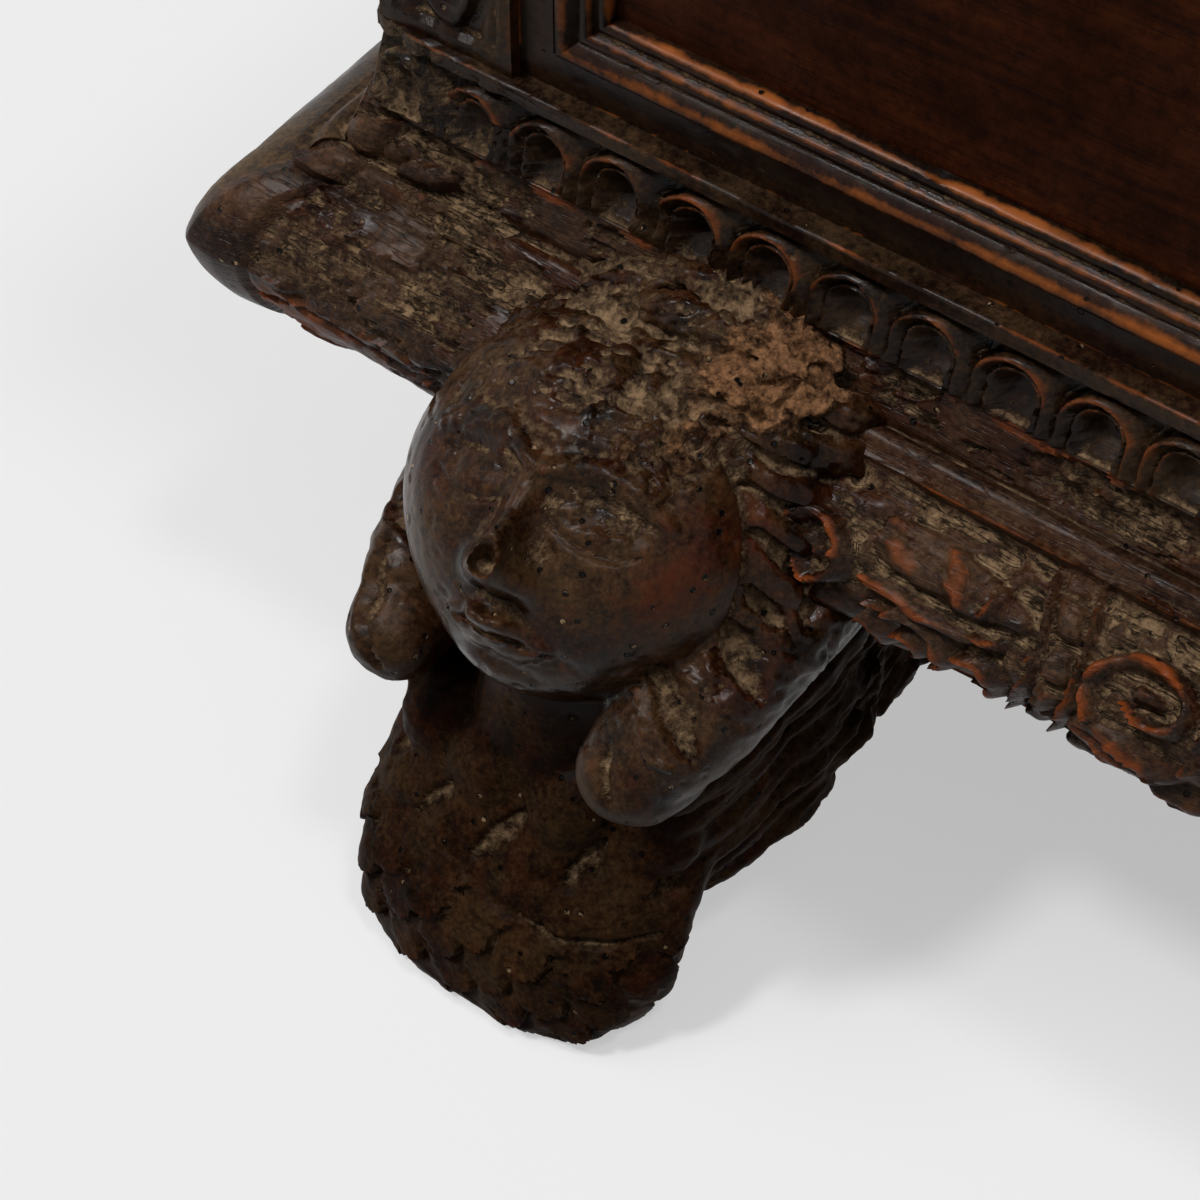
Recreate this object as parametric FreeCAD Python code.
"""Walnut cassone on carved feet: a lidded chest of plain boards with applied carved mouldings.

Millimetres. X runs along the front, Y runs to the back and Z is up. The origin is on the floor
under the middle of the whole chest. The front looks to -Y.
Depths in front of the face of the carcass are called reach: reach is positive towards -Y.
"""
import FreeCAD, Part
import math
import os

Vector = FreeCAD.Vector

# Carcass
BODY_WIDTH = 1634.0
BODY_DEPTH = 520.0
CARCASS_HEIGHT = 378.0
BOARD_THICK = 24.0
FIELD_SUNK = 6.0
REBATE_DEPTH = 12.0
BOTTOM_THICK = 18.0
BOTTOM_PLANKS = 3
PLANK_GAP = 0.4
BATTEN_WIDTH = 60.0
BATTEN_THICK = 22.0
BATTEN_PLACE_SHARE = 0.25

# Plinth, named from its lower edge upward and from the face outward
FOOT_HEIGHT = 150.0
PLINTH_HEIGHT = 82.0
PLINTH_INNER = 54.0
PLINTH_REACH = 51.5
PLINTH_TOP_REACH = 9.0
WASH_HEIGHT = 17.0
LIP_REACH = 14.5
QUIRK_WIDTH = 2.0
ROLL_REACH = 22.5
ROLL_DROP = 2.0
ROLL_BOW = 2.7
FILLET_REACH = 26.0
FILLET_HEIGHT = 3.5
OVOLO_WIDEST_RISE = 34.0
OVOLO_UPPER_BOW = 5.1
OVOLO_LOWER_BOW = 3.4
PLINTH_FOOT_REACH = 34.0
CORNER_BLOCK_LEG = 46.0
CORNER_BLOCK_DROP = 6.0

# Lunette moulding
LUNETTE_HEIGHT = 30.0
LUNETTE_PITCH = 26.0
LUNETTE_HALF_WIDTH = 8.6
LUNETTE_ARCH_HEIGHT = 20.0
LUNETTE_SINK = 3.2
LUNETTE_HEAD_SIDES = 4
LUNETTE_FOOT_REACH = 10.0
LUNETTE_HEAD_REACH = 6.0
LUNETTE_FILLET_REACH = 7.5
LUNETTE_FILLET_HEIGHT = 5.5

# Pilasters and panel moulding
PILASTER_WIDTH = 48.0
PILASTER_REACH = 4.0
PILASTER_MARGIN = 6.0
PILASTER_SINK = 3.5
PILASTER_OVALS = 3
OVAL_HALF_WIDTH = 13.0
OVAL_RIM = 4.5
OVAL_SIDES = 14
PANEL_FLAT = 13.0
PANEL_BEAD = 8.0
PANEL_BEAD_REACH = 5.0
BEAD_BOW_SHARE = 0.48
SMALL_BEAD = 4.5
SMALL_BEAD_DROP = 2.5
SMALL_BOW_SHARE = 0.33

# Frieze moulding under the lid
FRIEZE_HEIGHT = 24.0
FRIEZE_REACH = 13.0
FRIEZE_FILLET = 4.0
FRIEZE_FOOT_REACH = 4.5
FRIEZE_BOW = 2.2

# Lid
LID_THICK = 28.0
LID_OVERHANG = 34.0
LID_GAP = 0.3
LID_EDGE_STEP = 5.0
LIP_HEIGHT = 24.0
LIP_CLEARANCE = 2.0
LIP_FOOT_WIDTH = 9.0
LIP_SETBACK = 3.0
LIP_BEAD = 8.0
LIP_BEAD_BOW = 3.0
LIP_HOLLOW_BOW = 3.0
LIP_FILLET = 4.0
LID_BATTEN_WIDTH = 44.0
LID_BATTEN_THICK = 16.0
LID_BATTEN_CLEARANCE = 9.0

# Carved front feet
FOOT_CENTRE = 118.0
FOOT_REACH = 135.0
FOOT_HALF_WIDTH = 66.0
HEAD_HALF_WIDTH = 56.0
HEAD_HALF_LENGTH = 58.0
HEAD_HALF_DEPTH = 50.0
HEAD_CENTRE_REACH = 61.0
HEAD_CENTRE_HEIGHT = 176.0
HEAD_TILT = 46.0
HEAD_TURN = -4.0
NECK_RADIUS = 26.0
NECK_REACH = 76.0
NECK_SHIFT = 6.0
LOCK_RADIUS = 16.0
LOCK_END_REACH = 114.0
LOCK_END_HEIGHT = 122.0
LOCK_END_SPREAD = 43.0
LOCK_ROOT_REACH = 14.0
LOCK_ROOT_HEIGHT = 140.0
LOCK_ROOT_SPREAD = 58.0
HAIR_HEIGHT = 231.0
HAIR_SHIFT = 5.0

# Bracket feet at the back
REAR_FOOT_WIDTH = 120.0
REAR_FOOT_DEPTH = 96.0
REAR_FOOT_TOE = 46.0
REAR_FOOT_SHOULDER = 26.0
REAR_FOOT_BOW = 15.0

# Strap hinges
HINGE_SPREAD = 500.0
HINGE_WIDTH = 42.0
HINGE_THICK = 3.0
KNUCKLE_RADIUS = 6.0
HINGE_PIN_RADIUS = 3.0
PIN_CLEARANCE = 0.05
KNUCKLE_GAP = 0.3
KNUCKLE_WIDTH = 13.6
PIN_HEAD_RADIUS = 5.0
PIN_HEAD_THICK = 2.0
FORGED_SIDES = 8
BODY_LEAF_LENGTH = 150.0
LID_STRAP_LENGTH = 210.0
STRAP_TIP_WIDTH = 24.0
STRAP_RECESS_GAP = 0.3

# Lock
LOCK_WIDTH = 130.0
LOCK_HEIGHT = 140.0
LOCK_DEPTH = 26.0
LOCK_WALL = 2.5
LOCK_DROP = 4.0
BOLT_LENGTH = 52.0
BOLT_HEIGHT = 10.0
BOLT_THICK = 6.0
BOLT_TRAVEL = 16.0
BOLT_GAP = 0.3
GUIDE_WIDTH = 6.0
STAPLE_WIDTH = 8.0
STAPLE_BAR = 3.5
STAPLE_PLATE_WIDTH = 44.0
STAPLE_PLATE_DEPTH = 16.0
STAPLE_PLATE_THICK = 3.0
STAPLE_EYE_CLEARANCE = 1.2
STAPLE_NECK = 4.0
STAPLE_DROP = 12.0
ESCUTCHEON_WIDTH = 46.0
ESCUTCHEON_HEIGHT = 60.0
ESCUTCHEON_THICK = 1.6
ESCUTCHEON_DROP = 5.0
KEYHOLE_DROP = 116.0
KEYHOLE_RADIUS = 4.5
KEYHOLE_SLOT = 4.0
KEYHOLE_LENGTH = 16.0

# Drop handles on the ends
HANDLE_HEIGHT = 440.0
HANDLE_SPAN = 118.0
HANDLE_DROP = 62.0
HANDLE_BAR = 5.0
HANDLE_BEND = 18.0
BEND_STEPS = 3
HANDLE_PIVOT_RADIUS = 3.6
HANDLE_STANDOFF = 17.0
POST_RADIUS = 7.5
POST_THICK = 9.0
POST_GAP = 0.4
PLATE_RADIUS = 19.0
PLATE_THICK = 2.5
RIVET_RADIUS = 5.6
RIVET_THICK = 2.0

# How far a cutting tool runs past what it cuts, and how far off a flat face a corner may lie
OVERRUN = 5.0
FLAT_LIMIT = 1e-7

# Places worked out from the sizes
HALF_WIDTH = BODY_WIDTH / 2
HINGE_BACK = 2 * KNUCKLE_RADIUS
Y_FACE = FOOT_REACH - (FOOT_REACH + BODY_DEPTH + HINGE_BACK) / 2
Y_BACK = Y_FACE + BODY_DEPTH
PLINTH_TOP = FOOT_HEIGHT + PLINTH_HEIGHT
LUNETTE_TOP = PLINTH_TOP + LUNETTE_HEIGHT
BODY_TOP = PLINTH_TOP + CARCASS_HEIGHT
LID_UNDER = BODY_TOP + LID_GAP
FRIEZE_TOP = LID_UNDER - LIP_HEIGHT - LIP_CLEARANCE
FRIEZE_BOTTOM = FRIEZE_TOP - FRIEZE_HEIGHT
BOARD_FRONT = -FIELD_SUNK
BOARD_INSIDE = BOARD_FRONT - BOARD_THICK
Y_INSIDE_FRONT = Y_FACE - BOARD_INSIDE
Y_INSIDE_BACK = Y_BACK - BOARD_THICK
X_INSIDE = HALF_WIDTH - BOARD_THICK
PANEL_HALF_WIDTH = HALF_WIDTH - PILASTER_WIDTH
KNUCKLE_Y = Y_BACK + KNUCKLE_RADIUS
KNUCKLE_Z = LID_UNDER - KNUCKLE_RADIUS


def box(x0, x1, y0, y1, z0, z1):
    return Part.makeBox(x1 - x0, y1 - y0, z1 - z0, Vector(x0, y0, z0))


def front_box(x0, x1, reach0, reach1, z0, z1):
    """A box given by its reach in front of the carcass face."""
    return box(x0, x1, Y_FACE - reach1, Y_FACE - reach0, z0, z1)


def prism(points, along):
    """A closed outline pushed along a vector."""
    return Part.Face(Part.makePolygon(points + points[:1])).extrude(along)


def wire_prism(edges, along):
    return Part.Face(Part.Wire(edges)).extrude(along)


def line(a, b):
    return Part.LineSegment(a, b).toShape()


def arc(a, middle, b):
    return Part.Arc(a, middle, b).toShape()


def bulge(a, b, height):
    """An arc from a down to b that stands out by its height, or lies hollow if that is negative."""
    run = b - a
    side = Vector(0, run.z, -run.y).normalize()
    if side.y > 0:
        side = side * -1
    return arc(a, (a + b) * 0.5 + side * height, b)


def mirrored(shape):
    return shape.mirror(Vector(0, 0, 0), Vector(1, 0, 0))


def reach_point(reach, z, x=0.0):
    return Vector(x, Y_FACE - reach, z)


# Profiles of the mouldings, drawn in the YZ plane with reach and height

def plinth_profile(x):
    """Wash, quirked lip, roll, fillet and the broad ovolo that turns under."""
    lip_z = PLINTH_TOP - WASH_HEIGHT
    roll_z = lip_z - QUIRK_WIDTH
    fillet_z = roll_z - ROLL_DROP
    widest_z = FOOT_HEIGHT + OVOLO_WIDEST_RISE
    places = [
        (-PLINTH_INNER, FOOT_HEIGHT), (-PLINTH_INNER, PLINTH_TOP), (PLINTH_TOP_REACH, PLINTH_TOP),
        (LIP_REACH, lip_z), (LIP_REACH, roll_z), (ROLL_REACH, fillet_z), (FILLET_REACH, fillet_z),
        (FILLET_REACH, fillet_z - FILLET_HEIGHT), (PLINTH_REACH, widest_z),
        (PLINTH_FOOT_REACH, FOOT_HEIGHT)]
    points = [reach_point(reach, z, x) for reach, z in places]
    edges = [line(points[i], points[i + 1]) for i in range(4)]
    edges.append(bulge(points[4], points[5], ROLL_BOW))
    edges += [line(points[5], points[6]), line(points[6], points[7])]
    edges.append(bulge(points[7], points[8], OVOLO_UPPER_BOW))
    edges.append(bulge(points[8], points[9], OVOLO_LOWER_BOW))
    edges.append(line(points[9], points[0]))
    return edges


def lunette_profile(x, back_reach):
    """A hollow-cut band under a square fillet."""
    band_top = LUNETTE_TOP - LUNETTE_FILLET_HEIGHT
    places = [
        (back_reach, PLINTH_TOP), (LUNETTE_FOOT_REACH, PLINTH_TOP), (LUNETTE_HEAD_REACH, band_top),
        (LUNETTE_FILLET_REACH, band_top), (LUNETTE_FILLET_REACH, LUNETTE_TOP),
        (back_reach, LUNETTE_TOP)]
    return [reach_point(reach, z, x) for reach, z in places]


def frieze_profile(x, back_reach):
    """Fillet, cavetto and fillet."""
    foot_top = FRIEZE_BOTTOM + FRIEZE_FILLET
    head_bottom = FRIEZE_TOP - FRIEZE_FILLET
    a = reach_point(FRIEZE_FOOT_REACH, foot_top, x)
    b = reach_point(FRIEZE_REACH, head_bottom, x)
    outline = [
        reach_point(back_reach, FRIEZE_BOTTOM, x), reach_point(FRIEZE_FOOT_REACH, FRIEZE_BOTTOM, x), a]
    edges = [line(outline[0], outline[1]), line(outline[1], outline[2])]
    edges.append(bulge(a, b, -FRIEZE_BOW))
    top = reach_point(FRIEZE_REACH, FRIEZE_TOP, x)
    back = reach_point(back_reach, FRIEZE_TOP, x)
    edges += [line(b, top), line(top, back), line(back, outline[0])]
    return edges


def lip_profile(x, back_reach):
    """The moulding under the overhang of the lid: a quarter hollow over a bead."""
    foot_z = LID_UNDER - LIP_HEIGHT
    bead_z = foot_z + LIP_BEAD
    head_reach = LID_OVERHANG - LIP_SETBACK
    foot_reach = back_reach + LIP_FOOT_WIDTH
    a = reach_point(foot_reach, foot_z, x)
    b = reach_point(foot_reach, bead_z, x)
    c = reach_point(head_reach, LID_UNDER - LIP_FILLET, x)
    d = reach_point(head_reach, LID_UNDER, x)
    e = reach_point(back_reach, LID_UNDER, x)
    f = reach_point(back_reach, foot_z, x)
    return [line(f, a), bulge(a, b, LIP_BEAD_BOW), bulge(b, c, -LIP_HOLLOW_BOW),
            line(c, d), line(d, e), line(e, f)]


# Straight runs of moulding with mitred corners

def corner_tool(width, through):
    """Takes away what lies past the mitre at the left front corner, from the front run's side.

    Where the moulding lies only outside the corner, the tool stops square at the corner itself.
    """
    inner = width if through else 0.0
    tall = BODY_TOP + LID_THICK + OVERRUN
    points = [
        Vector(-HALF_WIDTH + inner, Y_FACE + inner, -OVERRUN),
        Vector(-HALF_WIDTH - width, Y_FACE - width, -OVERRUN),
        Vector(-HALF_WIDTH - 2 * width, Y_FACE - width, -OVERRUN),
        Vector(-HALF_WIDTH - 2 * width, Y_FACE + 2 * width, -OVERRUN),
        Vector(-HALF_WIDTH + inner, Y_FACE + 2 * width, -OVERRUN)]
    return prism(points, Vector(0, 0, tall))


def front_run(profile_edges, width, through=False):
    """A moulding along the front, mitred at both corners."""
    length = BODY_WIDTH + 2 * width
    run = wire_prism(profile_edges, Vector(length, 0, 0))
    tool = corner_tool(width, through)
    return run.cut(tool).cut(mirrored(tool))


def side_run(profile_edges, width, through=False):
    """The same moulding along the left end, turned round the corner and mitred to the front."""
    run = wire_prism(profile_edges, Vector(BODY_DEPTH + width, 0, 0))
    run.rotate(Vector(0, Y_FACE, 0), Vector(0, 0, 1), -90)
    run.translate(Vector(-HALF_WIDTH, BODY_DEPTH, 0))
    inner = width if through else 0.0
    tall = BODY_TOP + LID_THICK + OVERRUN
    points = [
        Vector(-HALF_WIDTH + inner, Y_FACE + inner, -OVERRUN),
        Vector(-HALF_WIDTH - width, Y_FACE - width, -OVERRUN),
        Vector(-HALF_WIDTH - width, Y_FACE - 2 * width, -OVERRUN),
        Vector(-HALF_WIDTH + inner, Y_FACE - 2 * width, -OVERRUN)]
    return run.cut(prism(points, Vector(0, 0, tall)))


def polygon_edges(points):
    return [line(points[i], points[(i + 1) % len(points)]) for i in range(len(points))]


# Carcass boards

def front_board():
    """One wide board, rebated for the ends, with the keyhole through it."""
    board = front_box(-HALF_WIDTH, HALF_WIDTH, BOARD_INSIDE, BOARD_FRONT, PLINTH_TOP, BODY_TOP)
    for side in (-1, 1):
        rebate = front_box(X_INSIDE, HALF_WIDTH + OVERRUN, BOARD_INSIDE - OVERRUN,
                           BOARD_INSIDE + REBATE_DEPTH, PLINTH_TOP - OVERRUN, BODY_TOP + OVERRUN)
        board = board.cut(rebate if side > 0 else mirrored(rebate))
    return board.cut(keyhole_tool())


def back_board():
    """Rebated for the ends and let in for the two lid straps."""
    board = box(-HALF_WIDTH, HALF_WIDTH, Y_INSIDE_BACK, Y_BACK, PLINTH_TOP, BODY_TOP)
    recess_half = HINGE_WIDTH / 2 + STRAP_RECESS_GAP
    recess_bottom = LID_UNDER - HINGE_THICK - STRAP_RECESS_GAP
    knuckle_bottom = KNUCKLE_Z - KNUCKLE_RADIUS - STRAP_RECESS_GAP
    for side in (-1, 1):
        rebate = box(X_INSIDE, HALF_WIDTH + OVERRUN, Y_INSIDE_BACK - OVERRUN,
                     Y_INSIDE_BACK + REBATE_DEPTH, PLINTH_TOP - OVERRUN, BODY_TOP + OVERRUN)
        strap = box(HINGE_SPREAD - recess_half, HINGE_SPREAD + recess_half,
                    Y_INSIDE_BACK - OVERRUN, Y_BACK + OVERRUN, recess_bottom, BODY_TOP + OVERRUN)
        tools = rebate.fuse(strap)
        board = board.cut(tools if side > 0 else mirrored(tools))
    return board


def left_end_board():
    front = Y_INSIDE_FRONT - REBATE_DEPTH
    back = Y_INSIDE_BACK + REBATE_DEPTH
    return box(-HALF_WIDTH, -X_INSIDE, front, back, PLINTH_TOP, BODY_TOP)


def bottom_plank(index):
    """The floor of the chest: planks along its length, laid on the ledge of the plinth."""
    inside = Y_INSIDE_BACK - Y_INSIDE_FRONT
    width = (inside - (BOTTOM_PLANKS - 1) * PLANK_GAP) / BOTTOM_PLANKS
    start = Y_INSIDE_FRONT + index * (width + PLANK_GAP)
    return box(-X_INSIDE, X_INSIDE, start, start + width, PLINTH_TOP, PLINTH_TOP + BOTTOM_THICK)


def left_bottom_batten():
    """A cross batten under the planks, between the front and the back of the plinth."""
    centre = -BODY_WIDTH * BATTEN_PLACE_SHARE
    front = Y_FACE + PLINTH_INNER
    back = Y_BACK - PLINTH_INNER
    return box(centre - BATTEN_WIDTH / 2, centre + BATTEN_WIDTH / 2, front, back,
               PLINTH_TOP - BATTEN_THICK, PLINTH_TOP)


# Plinth

def plinth_width():
    return max(PLINTH_REACH, PLINTH_INNER) + OVERRUN


def plinth_front():
    width = plinth_width()
    return front_run(plinth_profile(-HALF_WIDTH - width), width, through=True)


def plinth_left():
    width = plinth_width()
    return side_run(plinth_profile(0.0), width, through=True)


def plinth_back():
    """A plain rail between the ends of the two side runs."""
    half = HALF_WIDTH - PLINTH_INNER
    return box(-half, half, Y_BACK - PLINTH_INNER, Y_BACK, FOOT_HEIGHT, PLINTH_TOP)


def corner_blocks():
    """Triangular glue blocks in the four inner corners of the plinth, as one group."""
    x = HALF_WIDTH - PLINTH_INNER
    y_front = Y_FACE + PLINTH_INNER
    y_back = Y_BACK - PLINTH_INNER
    bottom = FOOT_HEIGHT + CORNER_BLOCK_DROP
    up = Vector(0, 0, PLINTH_HEIGHT - 2 * CORNER_BLOCK_DROP)
    blocks = []
    for side in (-1, 1):
        for y, turn in ((y_front, 1), (y_back, -1)):
            points = [Vector(side * x, y, bottom),
                      Vector(side * (x - CORNER_BLOCK_LEG), y, bottom),
                      Vector(side * x, y + turn * CORNER_BLOCK_LEG, bottom)]
            blocks.append(prism(points, up))
    return Part.makeCompound(blocks)


# Lunette moulding

def lunette_tool(x):
    """One round-headed hollow, sunk square to the leaning band."""
    floor = Y_FACE - LUNETTE_FOOT_REACH + LUNETTE_SINK
    spring = PLINTH_TOP + LUNETTE_ARCH_HEIGHT - LUNETTE_HALF_WIDTH
    foot = PLINTH_TOP + LUNETTE_FILLET_HEIGHT / 2
    points = [Vector(x - LUNETTE_HALF_WIDTH, floor, foot),
              Vector(x + LUNETTE_HALF_WIDTH, floor, foot)]
    for i in range(LUNETTE_HEAD_SIDES + 1):
        angle = math.pi * i / LUNETTE_HEAD_SIDES
        points.append(Vector(x + LUNETTE_HALF_WIDTH * math.cos(angle), floor,
                             spring + LUNETTE_HALF_WIDTH * math.sin(angle)))
    tool = prism(points, Vector(0, -LUNETTE_SINK - OVERRUN, 0))
    lean = LUNETTE_FOOT_REACH - LUNETTE_HEAD_REACH
    lean_angle = math.degrees(math.atan(lean / (LUNETTE_HEIGHT - LUNETTE_FILLET_HEIGHT)))
    tool.rotate(Vector(x, Y_FACE - LUNETTE_FOOT_REACH, PLINTH_TOP), Vector(1, 0, 0), -lean_angle)
    return tool


def lunette_moulding_front():
    """The band carries a row of round-headed hollows that runs out to the mitres."""
    width = LUNETTE_FOOT_REACH + OVERRUN
    edges = polygon_edges(lunette_profile(-HALF_WIDTH - width, BOARD_FRONT))
    run = front_run(edges, width)
    count = round(BODY_WIDTH / LUNETTE_PITCH)
    start = -(count - 1) / 2 * LUNETTE_PITCH
    tools = [lunette_tool(start + i * LUNETTE_PITCH) for i in range(count)]
    return run.cut(Part.makeCompound(tools))


def lunette_moulding_left():
    width = LUNETTE_FOOT_REACH + OVERRUN
    return side_run(polygon_edges(lunette_profile(0.0, 0.0)), width)


# Pilasters and the mitred moulding round the sunk field

def oval(x, y, z, half_width, half_height):
    """The corners of an upright oval."""
    points = []
    for i in range(OVAL_SIDES):
        angle = 2 * math.pi * i / OVAL_SIDES
        points.append(Vector(x + half_width * math.cos(angle), y,
                             z + half_height * math.sin(angle)))
    return points


def left_pilaster():
    """A corner strip with a sunk field and a chain of raised oval rings."""
    x0 = -HALF_WIDTH
    x1 = x0 + PILASTER_WIDTH
    strip = front_box(x0, x1, BOARD_FRONT, PILASTER_REACH, LUNETTE_TOP, FRIEZE_BOTTOM)
    field = front_box(x0 + PILASTER_MARGIN, x1 - PILASTER_MARGIN, PILASTER_REACH - PILASTER_SINK,
                      PILASTER_REACH + OVERRUN, LUNETTE_TOP + PILASTER_MARGIN,
                      FRIEZE_BOTTOM - PILASTER_MARGIN)
    strip = strip.cut(field)
    clear = FRIEZE_BOTTOM - LUNETTE_TOP - 2 * PILASTER_MARGIN
    step = clear / PILASTER_OVALS
    y = Y_FACE - PILASTER_REACH + PILASTER_SINK
    x = (x0 + x1) / 2
    out = Vector(0, -PILASTER_SINK, 0)
    for i in range(PILASTER_OVALS):
        z = LUNETTE_TOP + PILASTER_MARGIN + (i + 0.5) * step
        outer = prism(oval(x, y, z, OVAL_HALF_WIDTH, step / 2), out)
        inner = prism(oval(x, y, z, OVAL_HALF_WIDTH - OVAL_RIM, step / 2 - OVAL_RIM), out)
        strip = strip.fuse(outer.cut(inner))
    return strip


def panel_profile(x):
    """Flat band, one large bead and two small beads that step down to the field."""
    z0 = LUNETTE_TOP
    z1 = z0 + PANEL_FLAT
    z2 = z1 + PANEL_BEAD
    z3 = z2 + SMALL_BEAD
    z4 = z3 + SMALL_BEAD
    reach2 = PANEL_BEAD_REACH - PANEL_BEAD * BEAD_BOW_SHARE
    reach3 = reach2 - SMALL_BEAD_DROP
    reach4 = reach3 - SMALL_BEAD_DROP
    a = reach_point(BOARD_FRONT, z0, x)
    b = reach_point(0.0, z0, x)
    c = reach_point(0.0, z1, x)
    d = reach_point(reach2, z2, x)
    e = reach_point(reach3, z3, x)
    f = reach_point(reach4, z4, x)
    g = reach_point(BOARD_FRONT, z4, x)
    small_bow = SMALL_BEAD * SMALL_BOW_SHARE
    return [line(a, b), line(b, c), bulge(c, d, PANEL_BEAD * BEAD_BOW_SHARE),
            bulge(d, e, small_bow), bulge(e, f, small_bow), line(f, g), line(g, a)]


def panel_width():
    return PANEL_FLAT + PANEL_BEAD + 2 * SMALL_BEAD


def panel_mitre(x, z, turn_x, turn_z):
    """Takes away what lies past the mitre at one corner of a horizontal run."""
    size = panel_width() + OVERRUN
    far = Y_FACE - PANEL_BEAD_REACH - PANEL_BEAD - OVERRUN
    points = [Vector(x - turn_x * OVERRUN, far, z - turn_z * OVERRUN),
              Vector(x + turn_x * size, far, z + turn_z * size),
              Vector(x - turn_x * OVERRUN, far, z + turn_z * size)]
    depth = PANEL_BEAD_REACH + PANEL_BEAD + FIELD_SUNK + 2 * OVERRUN
    return prism(points, Vector(0, depth, 0))


def panel_moulding_bottom():
    run = wire_prism(panel_profile(-PANEL_HALF_WIDTH), Vector(2 * PANEL_HALF_WIDTH, 0, 0))
    tool = panel_mitre(-PANEL_HALF_WIDTH, LUNETTE_TOP, 1, 1)
    return run.cut(tool).cut(mirrored(tool))


def panel_moulding_top():
    middle = (LUNETTE_TOP + FRIEZE_BOTTOM) / 2
    return panel_moulding_bottom().mirror(Vector(0, 0, middle), Vector(0, 0, 1))


def panel_moulding_left():
    """An upright run of the same moulding, mitred to the two long ones."""
    height = FRIEZE_BOTTOM - LUNETTE_TOP
    run = wire_prism(panel_profile(0.0), Vector(height, 0, 0))
    run.rotate(Vector(0, 0, LUNETTE_TOP), Vector(0, 1, 0), 90)
    run.translate(Vector(-PANEL_HALF_WIDTH, 0, height))
    width = panel_width() + OVERRUN
    far = Y_FACE - PANEL_BEAD_REACH - PANEL_BEAD - OVERRUN
    depth = PANEL_BEAD_REACH + PANEL_BEAD + FIELD_SUNK + 2 * OVERRUN
    for z, turn in ((LUNETTE_TOP, 1), (FRIEZE_BOTTOM, -1)):
        points = [Vector(-PANEL_HALF_WIDTH - OVERRUN, far, z - turn * OVERRUN),
                  Vector(-PANEL_HALF_WIDTH + width, far, z + turn * width),
                  Vector(-PANEL_HALF_WIDTH + width, far, z - turn * OVERRUN)]
        run = run.cut(prism(points, Vector(0, depth, 0)))
    return run


def frieze_moulding_front():
    width = FRIEZE_REACH + OVERRUN
    return front_run(frieze_profile(-HALF_WIDTH - width, BOARD_FRONT), width)


def frieze_moulding_left():
    return side_run(frieze_profile(0.0, 0.0), FRIEZE_REACH + OVERRUN)


# Carved front feet. A foot is carved from one block: breast and folded wings, neck, head
# thrown back against the plinth, swept hair and two thick locks that fall forward.

# Each level of the body: height, then reach and half width at the front, the shoulder, the
# breast, the waist, the wing and the tail, as shares of the foot's height, reach and half width
BODY_LEVEL_SHARES = [
    (0.00, 1.00, 0.30, 0.93, 0.66, 0.68, 0.76, 0.45, 0.56, 0.30, 0.60, 0.15, 0.55),
    (0.08, 1.00, 0.32, 0.94, 0.72, 0.74, 0.86, 0.46, 0.64, 0.29, 0.86, 0.06, 0.88),
    (0.23, 0.98, 0.30, 0.91, 0.74, 0.77, 0.94, 0.46, 0.74, 0.26, 0.96, -0.10, 0.97),
    (0.39, 0.88, 0.28, 0.81, 0.68, 0.64, 0.93, 0.44, 0.78, 0.24, 0.97, -0.44, 1.00),
    (0.53, 0.75, 0.26, 0.69, 0.56, 0.52, 0.82, 0.40, 0.80, 0.22, 0.97, -0.50, 1.00),
    (0.67, 0.50, 0.26, 0.46, 0.40, 0.36, 0.62, 0.30, 0.78, 0.20, 0.98, -0.52, 1.00),
    (1.00, 0.37, 0.50, 0.36, 0.70, 0.30, 0.86, 0.26, 0.94, 0.20, 1.00, -0.52, 1.00)]

# The swept hair beside the head, in the same order, as shares of its own height
HAIR_LEVEL_SHARES = [
    (0.58, 0.41, 0.48, 0.39, 0.70, 0.34, 0.84, 0.28, 0.90, 0.22, 0.94, 0.04, 0.96),
    (0.67, 0.51, 0.48, 0.48, 0.74, 0.40, 0.88, 0.32, 0.95, 0.22, 0.99, 0.04, 1.00),
    (0.80, 0.45, 0.48, 0.42, 0.74, 0.36, 0.90, 0.29, 0.99, 0.20, 1.02, 0.04, 1.03),
    (0.91, 0.33, 0.44, 0.31, 0.64, 0.27, 0.80, 0.22, 0.90, 0.16, 0.95, 0.04, 0.96),
    (1.00, 0.19, 0.38, 0.18, 0.58, 0.17, 0.68, 0.15, 0.74, 0.12, 0.79, 0.04, 0.80)]

# The egg of the head: its cuts and how much it narrows towards the chin
HEAD_RINGS = 9
HEAD_SIDES = 16
CHIN_TAPER_SHARE = 0.12

# The nose and the lips: place down the face, depth inside and outside, and half width,
# as shares of the head's half length, half depth and half width
NOSE_SHARES = [(-0.04, 0.60, 1.01, 0.07), (0.18, 0.60, 1.10, 0.09), (0.34, 0.60, 1.16, 0.15),
               (0.42, 0.60, 0.92, 0.15)]
LIP_SHARES = [(0.52, 0.50, 0.84, 0.18), (0.57, 0.50, 0.96, 0.24), (0.62, 0.50, 0.86, 0.26),
              (0.66, 0.50, 0.90, 0.20), (0.72, 0.50, 0.76, 0.16)]

# The neck, as shares of the head's half length and of its own radius
NECK_TOP_SHARE = 0.5
NECK_FOOT_SHARE = 1.15

# Along a lock: place as a share of its length, size as a share of its radius
LOCK_RING_SHARES = [
    (0.00, 1.00), (0.22, 1.08), (0.30, 0.94), (0.50, 1.10), (0.58, 0.94), (0.80, 1.12),
    (0.94, 0.92), (1.00, 0.50)]
LOCK_SIDES = 10


def foot_x():
    return -HALF_WIDTH + FOOT_CENTRE


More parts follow.
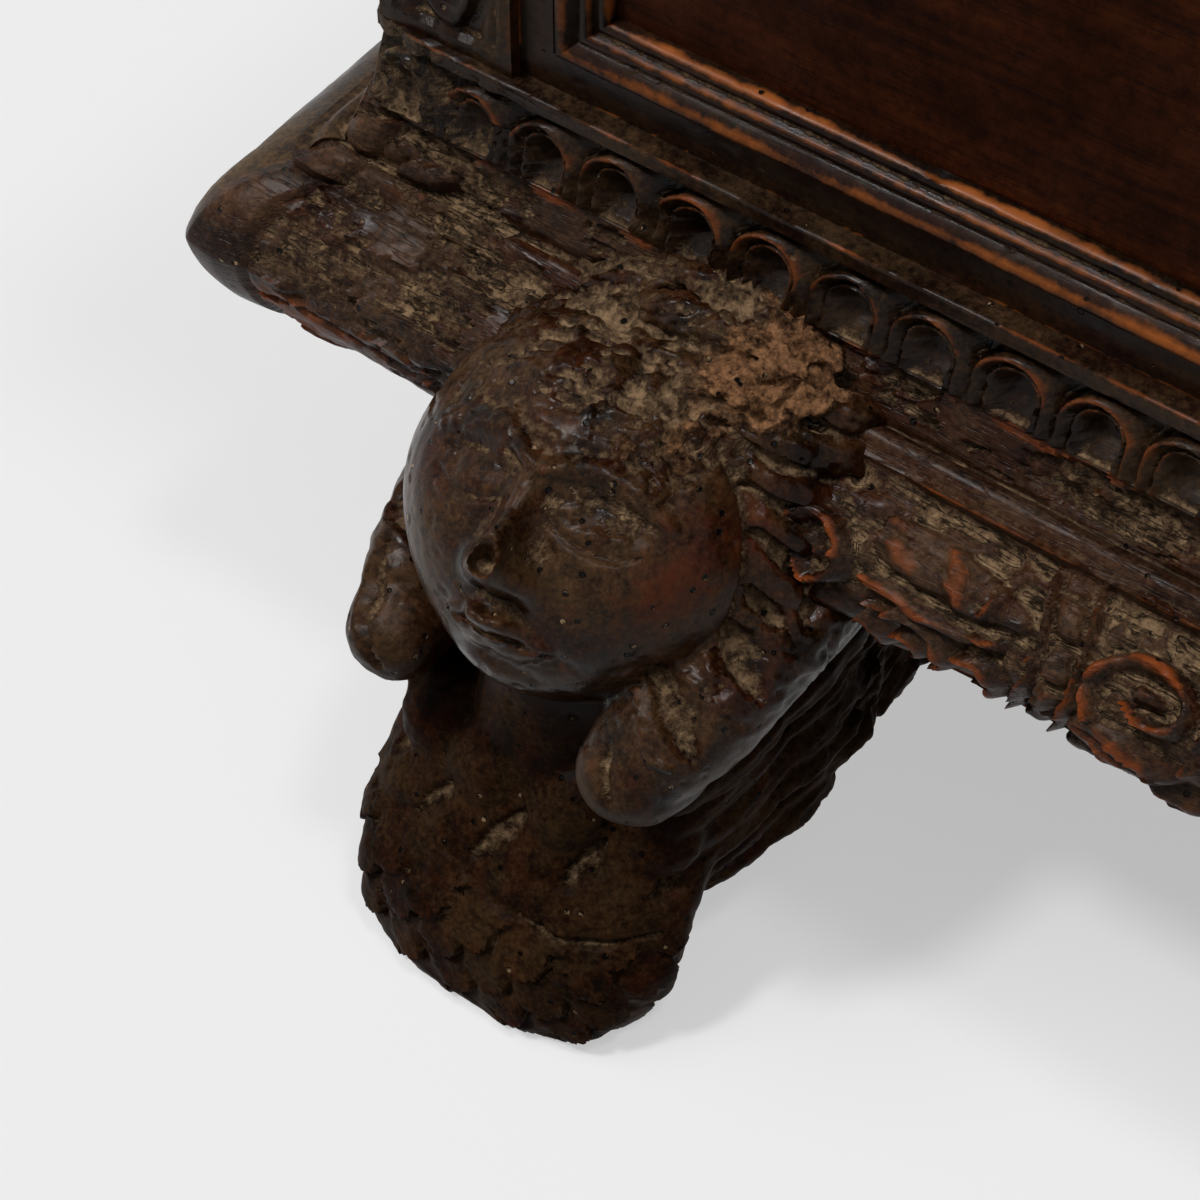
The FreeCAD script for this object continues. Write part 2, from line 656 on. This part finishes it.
def patch(a, b, c, d):
    """The face or faces between two sides of a block: one if flat, else two triangles."""
    normal = (b - a).cross(c - a)
    if abs(normal.dot(d - a)) < FLAT_LIMIT * normal.Length:
        return [Part.Face(Part.makePolygon([a, b, c, d, a]))]
    return [Part.Face(Part.makePolygon([a, b, c, a])), Part.Face(Part.makePolygon([a, c, d, a]))]


def skin(rings):
    """A solid of flat faces through a row of closed outlines with equal numbers of corners."""
    count = len(rings[0])
    faces = [Part.Face(Part.makePolygon(outline + outline[:1]))
             for outline in (rings[0], rings[-1])]
    for low, high in zip(rings, rings[1:]):
        for i in range(count):
            k = (i + 1) % count
            faces += patch(low[i], low[k], high[k], high[i])
    shell = Part.makeShell(faces)
    shell.sewShape()
    solid = Part.makeSolid(shell)
    return solid.reversed() if solid.Volume < 0 else solid


def level_ring(level, height, shift):
    """One level outline of the foot, the same on both sides of its middle."""
    half = [(level[i], level[i + 1]) for i in range(1, len(level), 2)]
    x = foot_x() + shift
    z = level[0] * height
    right = [Vector(x + w * FOOT_HALF_WIDTH, Y_FACE - r * FOOT_REACH, z) for r, w in half]
    left = [Vector(x - w * FOOT_HALF_WIDTH, Y_FACE - r * FOOT_REACH, z)
            for r, w in reversed(half)]
    return right + left


def foot_body():
    return skin([level_ring(level, FOOT_HEIGHT, 0.0) for level in BODY_LEVEL_SHARES])


def foot_hair():
    return skin([level_ring(level, HAIR_HEIGHT, HAIR_SHIFT) for level in HAIR_LEVEL_SHARES])


def ring(centre, axis_u, axis_v, radius_u, radius_v, sides):
    points = []
    for i in range(sides):
        angle = 2 * math.pi * (i + 0.5) / sides
        points.append(centre + axis_u * (radius_u * math.cos(angle))
                      + axis_v * (radius_v * math.sin(angle)))
    return points


def head_frame():
    """The middle of the head, its axes from crown to chin and out of the face, and across."""
    tilt = math.radians(HEAD_TILT)
    turn = math.radians(HEAD_TURN)
    centre = Vector(foot_x(), Y_FACE - HEAD_CENTRE_REACH, HEAD_CENTRE_HEIGHT)
    front = Vector(-math.sin(turn), -math.cos(turn), 0)
    up = Vector(0, 0, 1)
    down = front * math.sin(tilt) - up * math.cos(tilt)
    out = front * math.cos(tilt) + up * math.sin(tilt)
    return centre, down, out, down.cross(out)


def foot_head():
    """An egg on an axis that leans back from the chin to the crown."""
    centre, down, out, across = head_frame()
    rings = []
    for i in range(HEAD_RINGS):
        angle = math.pi * (i + 0.5) / HEAD_RINGS
        taper = 1 - CHIN_TAPER_SHARE * (1 - math.cos(angle)) / 2
        size = math.sin(angle) * taper
        rings.append(ring(centre - down * (math.cos(angle) * HEAD_HALF_LENGTH), across, out,
                          HEAD_HALF_WIDTH * size, HEAD_HALF_DEPTH * size, HEAD_SIDES))
    return skin(rings)


def face_block(sections):
    """A low block down the middle of the face."""
    centre, down, out, across = head_frame()
    rings = []
    for along, inside, outside, half in sections:
        place = centre + down * (HEAD_HALF_LENGTH * along)
        side = across * (HEAD_HALF_WIDTH * half)
        near = out * (HEAD_HALF_DEPTH * inside)
        far = out * (HEAD_HALF_DEPTH * outside)
        rings.append([place - side + near, place + side + near, place + side / 2 + far,
                      place - side / 2 + far])
    return skin(rings)


def foot_neck():
    top = Vector(foot_x(), Y_FACE - HEAD_CENTRE_REACH,
                 HEAD_CENTRE_HEIGHT - HEAD_HALF_LENGTH * NECK_TOP_SHARE)
    foot = Vector(foot_x() - NECK_SHIFT, Y_FACE - NECK_REACH, FOOT_HEIGHT / 2 - NECK_RADIUS / 2)
    across = Vector(1, 0, 0)
    forward = Vector(0, 1, 0)
    wide = NECK_RADIUS * NECK_FOOT_SHARE
    return skin([ring(foot, across, forward, wide, wide, HEAD_SIDES),
                 ring(top, across, forward, NECK_RADIUS, NECK_RADIUS, HEAD_SIDES)])


def foot_lock(side):
    """A thick lock of hair in three swelling lobes, ending in a blunt tip."""
    root = Vector(foot_x() + side * LOCK_ROOT_SPREAD, Y_FACE - LOCK_ROOT_REACH, LOCK_ROOT_HEIGHT)
    tip = Vector(foot_x() + side * LOCK_END_SPREAD, Y_FACE - LOCK_END_REACH, LOCK_END_HEIGHT)
    run = tip - root
    across = run.cross(Vector(0, 0, 1)).normalize()
    up = across.cross(run).normalize()
    return skin([ring(root + run * place, across, up, LOCK_RADIUS * size, LOCK_RADIUS * size,
                      LOCK_SIDES) for place, size in LOCK_RING_SHARES])


def left_front_foot(plinth):
    """The whole block, cut to sit under the plinth and against its moulded face."""
    parts = [foot_hair(), foot_neck(), foot_head(), face_block(NOSE_SHARES),
             face_block(LIP_SHARES), foot_lock(-1), foot_lock(1)]
    foot = foot_body().multiFuse(parts)
    behind = box(-HALF_WIDTH, 0, Y_FACE - PLINTH_FOOT_REACH, Y_BACK, FOOT_HEIGHT,
                 BODY_TOP)
    return foot.cut(plinth).cut(behind)


def left_rear_foot():
    """A plain bracket with a hollow-cut inner side, flush with the back."""
    x0 = -HALF_WIDTH
    x1 = x0 + REAR_FOOT_TOE
    x2 = x0 + REAR_FOOT_WIDTH
    y = Y_BACK - REAR_FOOT_DEPTH
    shoulder = FOOT_HEIGHT - REAR_FOOT_SHOULDER
    a = Vector(x1, y, 0)
    b = Vector(x2, y, shoulder)
    bow = Vector((x1 + x2) / 2 - REAR_FOOT_BOW, y, shoulder / 2 + REAR_FOOT_BOW)
    edges = [line(Vector(x0, y, 0), a), arc(a, bow, b), line(b, Vector(x2, y, FOOT_HEIGHT)),
             line(Vector(x2, y, FOOT_HEIGHT), Vector(x0, y, FOOT_HEIGHT)),
             line(Vector(x0, y, FOOT_HEIGHT), Vector(x0, y, 0))]
    return wire_prism(edges, Vector(0, REAR_FOOT_DEPTH, 0))


# Lid

def lid_plank(back):
    """Half of the lid, with a stepped edge round the overhang."""
    x = HALF_WIDTH + LID_OVERHANG
    middle = (Y_FACE - LID_OVERHANG + Y_BACK) / 2
    top = LID_UNDER + LID_THICK
    y0 = middle + PLANK_GAP / 2 if back else Y_FACE - LID_OVERHANG
    y1 = Y_BACK if back else middle - PLANK_GAP / 2
    plank = box(-x, x, y0, y1, LID_UNDER, top)
    step = LID_EDGE_STEP
    low = top - step
    keep = box(-x + step, x - step, Y_FACE - LID_OVERHANG + step, Y_BACK + OVERRUN, low,
               top + OVERRUN)
    rim = box(-x - OVERRUN, x + OVERRUN, Y_FACE - LID_OVERHANG - OVERRUN, Y_BACK + 2 * OVERRUN,
              low, top + 2 * OVERRUN).cut(keep)
    return plank.cut(rim)


def lid_lip_front():
    width = LID_OVERHANG + OVERRUN
    return front_run(lip_profile(-HALF_WIDTH - width, LIP_CLEARANCE), width)


def lid_lip_left():
    return side_run(lip_profile(0.0, LIP_CLEARANCE), LID_OVERHANG + OVERRUN)


def left_lid_batten():
    """A cross batten on the underside of the lid, just inside the end board."""
    x0 = -X_INSIDE + LID_BATTEN_CLEARANCE
    front = Y_INSIDE_FRONT + LID_BATTEN_CLEARANCE
    back = Y_INSIDE_BACK - LID_BATTEN_CLEARANCE
    return box(x0, x0 + LID_BATTEN_WIDTH, front, back, LID_UNDER - LID_BATTEN_THICK, LID_UNDER)


# Strap hinges: the body leaf lies on the back, the strap lies under the lid

def rod(x0, x1, radius):
    return Part.makeCylinder(radius, x1 - x0, Vector(x0, KNUCKLE_Y, KNUCKLE_Z), Vector(1, 0, 0))


def pin_bore(x0, x1):
    return rod(x0 - OVERRUN, x1 + OVERRUN, HINGE_PIN_RADIUS + PIN_CLEARANCE)


def hinge_leaf(x):
    """The leaf on the back, with the two outer knuckles."""
    half = HINGE_WIDTH / 2
    inner = KNUCKLE_WIDTH / 2 + KNUCKLE_GAP
    plate_top = KNUCKLE_Z - KNUCKLE_RADIUS - KNUCKLE_GAP
    leaf = box(x - half, x + half, Y_BACK, Y_BACK + HINGE_THICK, plate_top - BODY_LEAF_LENGTH,
               plate_top)
    for side in (-1, 1):
        ends = sorted((x + side * inner, x + side * half))
        web = box(ends[0], ends[1], Y_BACK, Y_BACK + HINGE_THICK, plate_top - HINGE_THICK,
                  KNUCKLE_Z)
        leaf = leaf.fuse(web).fuse(rod(ends[0], ends[1], KNUCKLE_RADIUS))
    return leaf.cut(pin_bore(x - half, x + half))


def hinge_strap(x):
    """The strap under the lid, tapered to its tip, with the middle knuckle."""
    half = HINGE_WIDTH / 2
    middle = KNUCKLE_WIDTH / 2
    tip = STRAP_TIP_WIDTH / 2
    bottom = LID_UNDER - HINGE_THICK
    root = Y_BACK - KNUCKLE_GAP
    end = root - LID_STRAP_LENGTH
    points = [Vector(x - half, root, bottom), Vector(x + half, root, bottom),
              Vector(x + tip, end, bottom), Vector(x - tip, end, bottom)]
    strap = prism(points, Vector(0, 0, HINGE_THICK))
    web = box(x - middle, x + middle, root - HINGE_THICK, KNUCKLE_Y, bottom, LID_UNDER)
    strap = strap.fuse(web).fuse(rod(x - middle, x + middle, KNUCKLE_RADIUS))
    return strap.cut(pin_bore(x - middle, x + middle))


def hinge_pin(x):
    half = HINGE_WIDTH / 2
    pin = rod(x - half, x + half, HINGE_PIN_RADIUS)
    for side in (-1, 1):
        start = Vector(x + side * half, KNUCKLE_Y, KNUCKLE_Z)
        outline = ring(start, Vector(0, 1, 0), Vector(0, 0, 1), PIN_HEAD_RADIUS, PIN_HEAD_RADIUS,
                       FORGED_SIDES)
        pin = pin.fuse(prism(outline, Vector(side * PIN_HEAD_THICK, 0, 0)))
    return pin


# Lock: a box on the inside of the front board, its bolt, and the staple on the lid

def lock_top():
    return BODY_TOP - LOCK_DROP


def bolt_z():
    return lock_top() - STAPLE_DROP


def bolt_reach():
    """The bolt slides in the middle of the lock's depth."""
    return BOARD_INSIDE - LOCK_DEPTH / 2


def bolt_tip():
    """The end of the bolt when it is drawn back, just clear of the staple."""
    return -STAPLE_WIDTH / 2 - STAPLE_EYE_CLEARANCE


def key_z():
    return BODY_TOP - KEYHOLE_DROP


def keyhole_tool():
    """A round hole with a slot under it, through the plate, the board and into the lock."""
    reach0 = BOARD_INSIDE - LOCK_WALL
    depth = ESCUTCHEON_THICK - reach0 + OVERRUN
    hole = Part.makeCylinder(KEYHOLE_RADIUS, depth, Vector(0, Y_FACE - reach0, key_z()),
                             Vector(0, -1, 0))
    slot = front_box(-KEYHOLE_SLOT / 2, KEYHOLE_SLOT / 2, reach0, reach0 + depth,
                     key_z() - KEYHOLE_LENGTH, key_z())
    return hole.fuse(slot)


def staple_half_depth():
    """The staple is a loop that goes round the bolt."""
    return BOLT_THICK / 2 + STAPLE_EYE_CLEARANCE + STAPLE_BAR


def lock_case():
    """A folded iron box, open towards the board, with two guides for the bolt."""
    half = LOCK_WIDTH / 2
    top = lock_top()
    reach0 = BOARD_INSIDE - LOCK_DEPTH
    case = front_box(-half, half, reach0, BOARD_INSIDE, top - LOCK_HEIGHT, top)
    hollow = front_box(-half + LOCK_WALL, half - LOCK_WALL, reach0 + LOCK_WALL,
                       BOARD_INSIDE + OVERRUN, top - LOCK_HEIGHT + LOCK_WALL, top - LOCK_WALL)
    case = case.cut(hollow)
    slot_half = STAPLE_WIDTH / 2 + STAPLE_EYE_CLEARANCE
    slot_depth = staple_half_depth() + STAPLE_EYE_CLEARANCE
    slot = front_box(-slot_half, slot_half, bolt_reach() - slot_depth, bolt_reach() + slot_depth,
                     top - 2 * LOCK_WALL, top + OVERRUN)
    case = case.cut(slot)
    hole = front_box(-BOLT_LENGTH * 2, BOLT_LENGTH * 2,
                     bolt_reach() - BOLT_THICK / 2 - BOLT_GAP,
                     bolt_reach() + BOLT_THICK / 2 + BOLT_GAP,
                     bolt_z() - BOLT_HEIGHT / 2 - BOLT_GAP, bolt_z() + BOLT_HEIGHT / 2 + BOLT_GAP)
    first = -slot_half - GUIDE_WIDTH - LOCK_WALL
    shot = bolt_tip() + BOLT_TRAVEL - GUIDE_WIDTH / 2
    for x in (first, first - BOLT_LENGTH / 2, shot):
        guide = front_box(x, x + GUIDE_WIDTH, reach0 + LOCK_WALL, BOARD_INSIDE - LOCK_WALL,
                          bolt_z() - BOLT_HEIGHT, top - LOCK_WALL)
        case = case.fuse(guide.cut(hole))
    return case


def lock_bolt():
    """Drawn back at rest; it slides to the right through the eye of the staple."""
    tip = bolt_tip()
    return front_box(tip - BOLT_LENGTH, tip, bolt_reach() - BOLT_THICK / 2,
                     bolt_reach() + BOLT_THICK / 2, bolt_z() - BOLT_HEIGHT / 2,
                     bolt_z() + BOLT_HEIGHT / 2)


def lock_staple():
    """A plate under the lid with a loop that drops into the lock and takes the bolt."""
    half = STAPLE_PLATE_WIDTH / 2
    plate_front = bolt_reach() + STAPLE_PLATE_DEPTH / 2
    plate = front_box(-half, half, plate_front - STAPLE_PLATE_DEPTH, plate_front,
                      LID_UNDER - STAPLE_PLATE_THICK, LID_UNDER)
    eye_half = BOLT_HEIGHT / 2 + STAPLE_EYE_CLEARANCE
    foot = bolt_z() - eye_half - STAPLE_NECK
    outer = staple_half_depth()
    inner = outer - STAPLE_BAR
    loop = front_box(-STAPLE_WIDTH / 2, STAPLE_WIDTH / 2, bolt_reach() - outer,
                     bolt_reach() + outer, foot, LID_UNDER - STAPLE_PLATE_THICK)
    eye = front_box(-STAPLE_WIDTH, STAPLE_WIDTH, bolt_reach() - inner, bolt_reach() + inner,
                    bolt_z() - eye_half, bolt_z() + eye_half)
    return plate.fuse(loop).cut(eye)


def escutcheon():
    """A shaped plate round the keyhole, on the sunk field of the front."""
    half = ESCUTCHEON_WIDTH / 2
    tall = ESCUTCHEON_HEIGHT / 2
    z = key_z() - ESCUTCHEON_DROP
    y = Y_FACE - BOARD_FRONT
    plate = prism(oval(0.0, y, z, half, tall), Vector(0, -ESCUTCHEON_THICK, 0))
    return plate.cut(keyhole_tool())


# Drop handles on the ends

def handle_y():
    return (Y_FACE + Y_BACK) / 2


def handle_axis_x():
    return -HALF_WIDTH - HANDLE_STANDOFF


def left_handle_posts():
    """Two bossed plates with drilled posts, nailed to the end board."""
    posts = []
    for side in (-1, 1):
        y = handle_y() + side * HANDLE_SPAN / 2
        outline = ring(Vector(-HALF_WIDTH, y, HANDLE_HEIGHT), Vector(0, 1, 0), Vector(0, 0, 1),
                       PLATE_RADIUS, PLATE_RADIUS, FORGED_SIDES)
        plate = prism(outline, Vector(-PLATE_THICK, 0, 0))
        arm = box(handle_axis_x(), -HALF_WIDTH - PLATE_THICK / 2, y - POST_THICK / 2,
                  y + POST_THICK / 2, HANDLE_HEIGHT - POST_RADIUS, HANDLE_HEIGHT + POST_RADIUS)
        knob = Part.makeCylinder(POST_RADIUS, POST_THICK,
                                 Vector(handle_axis_x(), y - POST_THICK / 2, HANDLE_HEIGHT),
                                 Vector(0, 1, 0))
        bore = Part.makeCylinder(HANDLE_PIVOT_RADIUS + PIN_CLEARANCE, POST_THICK + 2 * OVERRUN,
                                 Vector(handle_axis_x(), y - POST_THICK / 2 - OVERRUN,
                                        HANDLE_HEIGHT), Vector(0, 1, 0))
        posts.append(plate.fuse(arm).fuse(knob).cut(bore))
    return Part.makeCompound(posts)


def bail_spine(y0, y1, low):
    """Places and directions along the bail, from one end down and up again to the other."""
    top = HANDLE_HEIGHT + HANDLE_BAR
    places = [(y0, top, 0.0)]
    for start_y, turn in ((y0 + HANDLE_BEND, 0.0), (y1 - HANDLE_BEND, math.pi / 2)):
        for i in range(BEND_STEPS + 1):
            angle = turn + math.pi / 2 * i / BEND_STEPS
            places.append((start_y - HANDLE_BEND * math.cos(angle),
                           low + HANDLE_BEND - HANDLE_BEND * math.sin(angle), angle))
    places.append((y1, top, math.pi))
    return places


def left_handle():
    """A forged bail of eight-sided bar, hanging from the two posts."""
    x = handle_axis_x()
    inner = HANDLE_SPAN / 2 - POST_THICK / 2 - POST_GAP - HANDLE_BAR
    spine = bail_spine(handle_y() - inner, handle_y() + inner, HANDLE_HEIGHT - HANDLE_DROP)
    bail = skin([ring(Vector(x, y, z), Vector(1, 0, 0),
                      Vector(0, math.cos(angle), math.sin(angle)), HANDLE_BAR, HANDLE_BAR,
                      FORGED_SIDES) for y, z, angle in spine])
    for side in (-1, 1):
        start = handle_y() + side * inner
        length = HANDLE_BAR + POST_GAP + POST_THICK + POST_GAP
        pivot = Part.makeCylinder(HANDLE_PIVOT_RADIUS, length,
                                  Vector(x, start, HANDLE_HEIGHT), Vector(0, side, 0))
        outline = ring(Vector(x, start + side * length, HANDLE_HEIGHT), Vector(1, 0, 0),
                       Vector(0, 0, 1), RIVET_RADIUS, RIVET_RADIUS, FORGED_SIDES)
        bail = bail.fuse(pivot).fuse(prism(outline, Vector(0, side * RIVET_THICK, 0)))
    return bail


def build():
    parts = {
        "front_board": front_board(),
        "back_board": back_board(),
        "plinth_front": plinth_front(),
        "plinth_back": plinth_back(),
        "corner_blocks": corner_blocks(),
        "lunette_moulding_front": lunette_moulding_front(),
        "panel_moulding_bottom": panel_moulding_bottom(),
        "panel_moulding_top": panel_moulding_top(),
        "frieze_moulding_front": frieze_moulding_front(),
        "lid_board_front": lid_plank(False),
        "lid_board_back": lid_plank(True),
        "lid_lip_front": lid_lip_front(),
        "lock_case": lock_case(),
        "lock_bolt": lock_bolt(),
        "lock_staple": lock_staple(),
        "escutcheon": escutcheon()}
    for index in range(BOTTOM_PLANKS):
        parts["bottom_plank_%d" % (index + 1)] = bottom_plank(index)
    pairs = {
        "end_board": left_end_board(),
        "bottom_batten": left_bottom_batten(),
        "plinth": plinth_left(),
        "lunette_moulding": lunette_moulding_left(),
        "pilaster": left_pilaster(),
        "panel_moulding": panel_moulding_left(),
        "frieze_moulding": frieze_moulding_left(),
        "front_foot": left_front_foot(parts["plinth_front"]),
        "rear_foot": left_rear_foot(),
        "lid_lip": lid_lip_left(),
        "lid_batten": left_lid_batten(),
        "hinge_leaf": hinge_leaf(-HINGE_SPREAD),
        "hinge_strap": hinge_strap(-HINGE_SPREAD),
        "hinge_pin": hinge_pin(-HINGE_SPREAD),
        "handle_posts": left_handle_posts(),
        "handle": left_handle()}
    for name, shape in pairs.items():
        parts[name + "_left"] = shape
        parts[name + "_right"] = mirrored(shape)
    return parts


os.makedirs("parts", exist_ok=True)
for name, shape in build().items():
    shape.exportStep("parts/%s.step" % name)
    print(name, len(shape.Solids), shape.isValid(), round(shape.Volume))
